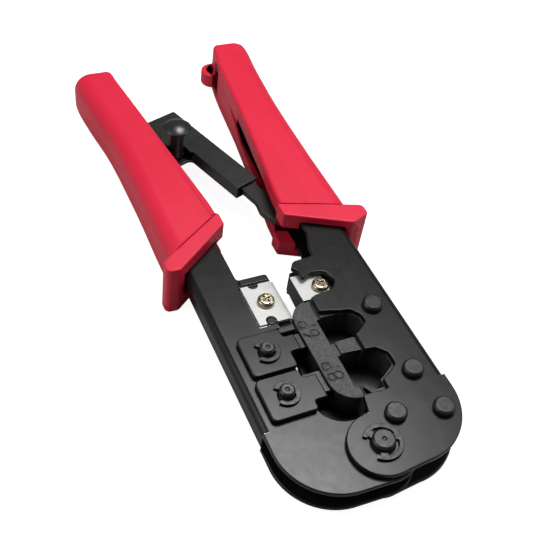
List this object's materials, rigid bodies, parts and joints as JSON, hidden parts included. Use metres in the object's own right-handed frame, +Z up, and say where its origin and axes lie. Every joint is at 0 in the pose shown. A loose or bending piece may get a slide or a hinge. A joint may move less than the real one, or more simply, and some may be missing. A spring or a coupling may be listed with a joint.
{
  "type": "rj45 crimping tool",
  "caption": "Ratchet crimping tool for modular plugs, with plug pockets, a wire cutter, a hinged ratchet strut with a release knob, and moulded grips.",
  "frame": {"origin": "on the axis of the main pivot, in the plane that the tool rests on, at the back face of the pivot pin's head", "axes": "X across the head, towards the fixed handle's side; Y from the pivot towards the handle ends; Z up, out of the front of the tool"},
  "size_m": [0.0765, 0.207, 0.0245],
  "materials": {
    "black_steel": "satin black oxide sheet steel",
    "die_steel": "speckled dark grey sintered steel",
    "pin_steel": "dark turned steel",
    "clip_steel": "blackened spring steel",
    "spring_steel": "bare spring wire",
    "black_plastic": "matt black moulding",
    "blade_steel": "ground bright blade steel",
    "nickel_screw": "nickel plated",
    "punch_steel": "dark hardened steel",
    "strut_steel": "satin black sheet steel",
    "knob_black": "smooth black",
    "red_plastic": "satin red moulding"
  },
  "bodies": {
    "frame": {"frame_channel": "black_steel", "die_block": "die_steel", "frame_rivets": "black_steel", "pivot_pin": "pin_steel", "pivot_clip": "clip_steel", "return_spring": "spring_steel", "cutter_block": "black_plastic", "frame_blade": "blade_steel", "frame_blade_screw": "nickel_screw", "rack_pin": "pin_steel", "frame_grip": "red_plastic"},
    "lever": {"lever_channel": "black_steel", "punch_8p": "punch_steel", "punch_6p": "punch_steel", "saddle_8p_front": "black_steel", "saddle_6p_front": "black_steel", "saddle_8p_back": "black_steel", "saddle_6p_back": "black_steel", "punch_pins": "pin_steel", "punch_clips": "clip_steel", "blade_seat": "black_plastic", "lever_blade": "blade_steel", "lever_blade_screw": "nickel_screw", "housing_pin": "pin_steel", "lever_grip": "red_plastic"},
    "strut": {"strut_housing": "strut_steel", "pawl_pin": "pin_steel", "pawl_spring": "spring_steel"},
    "ratchet_pawl": {"pawl": "punch_steel", "release_knob": "knob_black"},
    "rack": {"strut_rack": "strut_steel"}
  },
  "joints": [
    {"name": "handle_close", "type": "hinge", "parent": "frame", "child": "lever", "pos_m": [0, 0, 0.01], "axis": [0, 0, -1], "range_deg": [0, 6.2]},
    {"name": "housing_swing", "type": "hinge", "parent": "lever", "child": "strut", "pos_m": [-0.0236, 0.1481, 0.01], "axis": [0, 0, -1], "range_deg": [0, 10.9]},
    {"name": "rack_swing", "type": "hinge", "parent": "frame", "child": "rack", "pos_m": [0.02, 0.101, 0.01], "axis": [0, 0, -1], "range_deg": [0, 17.1]},
    {"name": "pawl_release", "type": "hinge", "parent": "strut", "child": "ratchet_pawl", "pos_m": [-0.01564, 0.15019, 0.01], "axis": [0, 0, -1], "range_deg": [0, 7], "stiffness_Nm_per_rad": 0.05}
  ],
  "couplings": [
    {"joint": "housing_swing", "follows": "handle_close", "ratio": 1.751},
    {"joint": "rack_swing", "follows": "handle_close", "ratio": 2.751}
  ]
}
